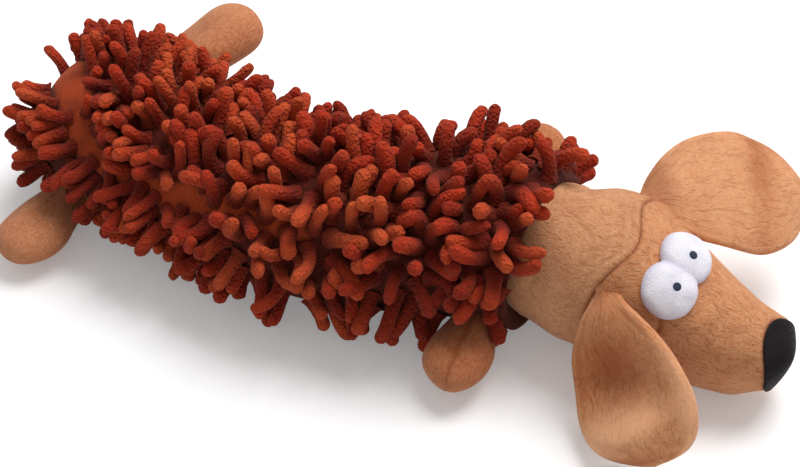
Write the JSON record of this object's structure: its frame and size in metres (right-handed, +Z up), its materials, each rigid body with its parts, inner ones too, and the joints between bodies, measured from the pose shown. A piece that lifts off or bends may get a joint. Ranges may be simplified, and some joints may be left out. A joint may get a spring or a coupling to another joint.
{
  "type": "plush dog toy",
  "caption": "Stuffed dog toy lying on its belly, with a long shaggy loop-pile body round a squeaker, smooth plush head, floppy ears, padded eyes, black nose and short plush legs.",
  "frame": {"origin": "centre of the flat that the belly rests on, under the middle of the body, on the floor", "axes": "+X from the tail to the nose, +Y to the dog's left, +Z up"},
  "size_m": [0.3453, 0.1752, 0.0782],
  "materials": {
    "pile": "rust chenille loop pile on woven backing",
    "plush": "short tan velboa plush",
    "nose": "smooth black fabric",
    "eye": "white brushed fabric",
    "pupil": "dark blue-grey embroidered dot, a little shiny",
    "filling": "white polyester fibre",
    "vinyl": "soft ivory vinyl",
    "reed": "pale translucent plastic"
  },
  "bodies": {
    "torso": {"right_side_panel": "pile", "left_side_panel": "pile", "tail_panel": "pile", "belly_panel": "pile", "upper_filling": "filling", "lower_filling": "filling", "squeaker_base": "vinyl", "squeaker_bellows": "vinyl", "squeaker_reed_tube": "reed", "squeaker_reed": "reed"},
    "squeaker_top": {"squeaker_cap": "vinyl"},
    "neck": {"neck_cover": "plush", "neck_filling": "filling"},
    "head": {"face_panel": "plush", "chin_panel": "plush", "nose_cap": "nose", "head_filling": "filling", "eye_pad": "eye", "right_pupil": "pupil", "left_pupil": "pupil"},
    "right_ear": {"right_ear_outer": "plush", "right_ear_lining": "plush"},
    "left_ear": {"left_ear_outer": "plush", "left_ear_lining": "plush"},
    "rear_right_leg": {"rear_right_leg_front_panel": "plush", "rear_right_leg_back_panel": "plush", "rear_right_leg_filling": "filling"},
    "rear_left_leg": {"rear_left_leg_front_panel": "plush", "rear_left_leg_back_panel": "plush", "rear_left_leg_filling": "filling"},
    "front_right_leg": {"front_right_leg_front_panel": "plush", "front_right_leg_back_panel": "plush", "front_right_leg_filling": "filling"},
    "front_left_leg": {"front_left_leg_front_panel": "plush", "front_left_leg_back_panel": "plush", "front_left_leg_filling": "filling"}
  },
  "joints": [
    {"name": "squeaker_press", "type": "slide", "parent": "torso", "child": "squeaker_top", "axis": [0, 0, -1], "range_m": [0, 0.006], "stiffness_N_per_m": 900, "deforming": ["squeaker_bellows"]},
    {"name": "neck_turn", "type": "hinge", "parent": "torso", "child": "neck", "pos_m": [0.1035, 0.03, 0.033], "axis": [0, 0, 1], "range_deg": [-15, 15], "stiffness_Nm_per_rad": 0.5},
    {"name": "head_nod", "type": "hinge", "parent": "neck", "child": "head", "pos_m": [0.129, 0.03, 0.033], "axis": [0, -1, 0], "range_deg": [-2, 20], "stiffness_Nm_per_rad": 1.2},
    {"name": "right_ear_lift", "type": "hinge", "parent": "head", "child": "right_ear", "pos_m": [0.13345, 0.00431, 0.05229], "axis": [-0.7888, -0.2698, -0.5523], "range_deg": [-2, 36], "stiffness_Nm_per_rad": 0.1},
    {"name": "left_ear_lift", "type": "hinge", "parent": "head", "child": "left_ear", "pos_m": [0.12889, 0.05352, 0.05256], "axis": [0.5926, -0.671, -0.4456], "range_deg": [-6, 36], "stiffness_Nm_per_rad": 0.1},
    {"name": "rear_right_leg_lift", "type": "hinge", "parent": "torso", "child": "rear_right_leg", "pos_m": [-0.10207, -0.02146, 0.01402], "axis": [-0.9994, 0.0349, 0], "range_deg": [-2, 22], "stiffness_Nm_per_rad": 0.2},
    {"name": "rear_left_leg_lift", "type": "hinge", "parent": "torso", "child": "rear_left_leg", "pos_m": [-0.09924, 0.04365, 0.02951], "axis": [0.9136, -0.4067, 0], "range_deg": [-6, 22], "stiffness_Nm_per_rad": 0.2},
    {"name": "front_right_leg_lift", "type": "hinge", "parent": "torso", "child": "front_right_leg", "pos_m": [0.08416, -0.00167, 0.01449], "axis": [-0.9848, -0.1736, 0], "range_deg": [-2, 22], "stiffness_Nm_per_rad": 0.2},
    {"name": "front_left_leg_lift", "type": "hinge", "parent": "torso", "child": "front_left_leg", "pos_m": [0.06186, 0.05755, 0.02801], "axis": [0.9848, -0.1736, 0], "range_deg": [-6, 22], "stiffness_Nm_per_rad": 0.2}
  ]
}
